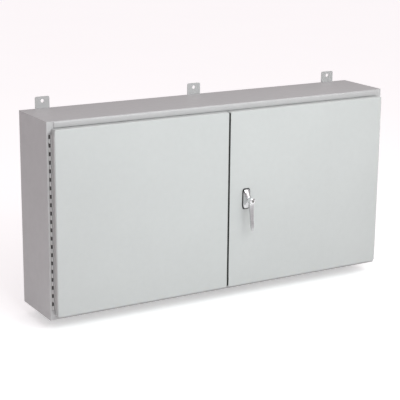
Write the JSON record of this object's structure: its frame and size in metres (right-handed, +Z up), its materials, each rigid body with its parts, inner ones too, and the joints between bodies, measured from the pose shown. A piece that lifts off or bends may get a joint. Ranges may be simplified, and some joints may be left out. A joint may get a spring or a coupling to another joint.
{
  "type": "automatic transfer switch cabinet",
  "caption": "Wide wall-mounted two-door grey steel cabinet with continuous hinges and a chrome latch handle, holding a double-throw transfer switch and its controls.",
  "frame": {"origin": "centre of the wall plane, midway between the six tab holes", "axes": "+X to the right seen from the front, +Y into the wall, +Z up"},
  "size_m": [1.524, 0.3444, 0.852],
  "materials": {
    "cabinet_paint": "satin powder coat, light grey",
    "door_paint": "satin powder coat, light grey",
    "panel_paint": "satin white enamel",
    "hinge_steel": "zinc plated",
    "zinc_steel": "zinc plated",
    "chrome": "polished chrome",
    "black_rubber": "matte",
    "nylon": "natural nylon",
    "black_phenolic": "moulded phenolic",
    "red_glastic": "moulded polyester",
    "copper": "tin-free copper bar",
    "aluminium_lug": "extruded",
    "grey_plastic": "moulded",
    "display_glass": "dark window",
    "green_button": "moulded",
    "amber_button": "moulded",
    "coil_tape": "taped winding",
    "orange_plastic": "moulded"
  },
  "bodies": {
    "cabinet": {"body_wrapper": "cabinet_paint", "left_side_panel": "cabinet_paint", "right_side_panel": "cabinet_paint", "drip_lip": "cabinet_paint", "upper_mounting_tabs": "cabinet_paint", "lower_mounting_tabs": "cabinet_paint", "center_post": "cabinet_paint", "left_hinge_body_leaf": "hinge_steel", "right_hinge_body_leaf": "hinge_steel", "left_hinge_pin": "hinge_steel", "right_hinge_pin": "hinge_steel", "sub_panel": "panel_paint", "panel_studs": "zinc_steel", "panel_nuts": "zinc_steel", "neutral_bar": "copper", "ground_bar": "copper", "switch_base": "red_glastic", "pole_housings": "black_phenolic", "contact_bars": "copper", "terminal_lugs": "aluminium_lug", "lug_screws": "zinc_steel", "solenoid_coil": "coil_tape", "operator_frame": "zinc_steel", "controller_case": "grey_plastic", "controller_display": "display_glass", "din_rail": "zinc_steel", "terminal_block": "grey_plastic", "control_relays": "orange_plastic", "fuse_block": "grey_plastic", "control_transformer": "coil_tape"},
    "left_door": {"left_door_panel": "door_paint", "left_door_gasket": "black_rubber", "left_hinge_door_leaf": "hinge_steel", "door_bolt_guides": "nylon", "document_pocket": "grey_plastic"},
    "right_door": {"right_door_panel": "door_paint", "right_door_gasket": "black_rubber", "right_hinge_door_leaf": "hinge_steel", "handle_gasket": "black_rubber", "handle_base": "chrome", "handle_screws": "zinc_steel", "rod_guides": "nylon"},
    "handle": {"handle_lever": "chrome", "latch_cam": "zinc_steel", "cam_nut": "zinc_steel"},
    "lock_plug": {"lock_cylinder": "chrome"},
    "upper_rod": {"upper_latch_rod": "zinc_steel"},
    "lower_rod": {"lower_latch_rod": "zinc_steel"},
    "upper_roller": {"upper_latch_roller": "nylon"},
    "lower_roller": {"lower_latch_roller": "nylon"},
    "upper_bolt": {"upper_door_bolt": "zinc_steel"},
    "lower_bolt": {"lower_door_bolt": "zinc_steel"},
    "transfer_shaft": {"contact_shaft": "zinc_steel", "contact_arms": "copper", "shaft_crank": "zinc_steel", "manual_handle": "orange_plastic", "position_indicator": "orange_plastic"},
    "plunger": {"solenoid_plunger": "zinc_steel"},
    "test_push": {"test_button": "green_button"},
    "transfer_push": {"transfer_button": "amber_button"}
  },
  "joints": [
    {"name": "left_door_hinge", "type": "hinge", "parent": "cabinet", "child": "left_door", "pos_m": [-0.751, -0.2608, 0], "axis": [0, 0, -1], "range_deg": [0, 120]},
    {"name": "right_door_hinge", "type": "hinge", "parent": "cabinet", "child": "right_door", "pos_m": [0.751, -0.2608, 0], "axis": [0, 0, 1], "range_deg": [0, 120]},
    {"name": "handle_turn", "type": "hinge", "parent": "right_door", "child": "handle", "pos_m": [0.08, -0.29, -0.003], "axis": [0, -1, 0], "range_deg": [0, 90]},
    {"name": "lock_turn", "type": "hinge", "parent": "handle", "child": "lock_plug", "pos_m": [0.08, -0.34, -0.003], "axis": [0, -1, 0], "range_deg": [0, 90]},
    {"name": "upper_rod_slide", "type": "slide", "parent": "right_door", "child": "upper_rod", "axis": [0, 0, -1], "range_m": [0, 0.0227]},
    {"name": "lower_rod_slide", "type": "slide", "parent": "right_door", "child": "lower_rod", "axis": [0, 0, 1], "range_m": [0, 0.0227]},
    {"name": "upper_roller_spin", "type": "hinge", "parent": "upper_rod", "child": "upper_roller", "pos_m": [0.06635, -0.247, 0.3234], "axis": [1, 0, 0], "continuous": true},
    {"name": "lower_roller_spin", "type": "hinge", "parent": "lower_rod", "child": "lower_roller", "pos_m": [0.09365, -0.247, -0.3234], "axis": [1, 0, 0], "continuous": true},
    {"name": "upper_bolt_slide", "type": "slide", "parent": "left_door", "child": "upper_bolt", "axis": [0, 0, -1], "range_m": [0, 0.02]},
    {"name": "lower_bolt_slide", "type": "slide", "parent": "left_door", "child": "lower_bolt", "axis": [0, 0, 1], "range_m": [0, 0.02]},
    {"name": "transfer_shaft_turn", "type": "hinge", "parent": "cabinet", "child": "transfer_shaft", "pos_m": [0, -0.102, 0], "axis": [1, 0, 0], "range_deg": [0, 70]},
    {"name": "plunger_slide", "type": "slide", "parent": "cabinet", "child": "plunger", "axis": [0, 0, -1], "range_m": [0, 0.0345]},
    {"name": "test_button_press", "type": "slide", "parent": "cabinet", "child": "test_push", "axis": [0, 1, 0], "range_m": [0, 0.003], "stiffness_N_per_m": 300},
    {"name": "transfer_button_press", "type": "slide", "parent": "cabinet", "child": "transfer_push", "axis": [0, 1, 0], "range_m": [0, 0.003], "stiffness_N_per_m": 300}
  ],
  "couplings": [
    {"joint": "upper_rod_slide", "follows": "handle_turn", "m_per_rad": 0.0144},
    {"joint": "lower_rod_slide", "follows": "handle_turn", "m_per_rad": 0.0144},
    {"joint": "plunger_slide", "follows": "transfer_shaft_turn", "m_per_rad": 0.02817}
  ]
}
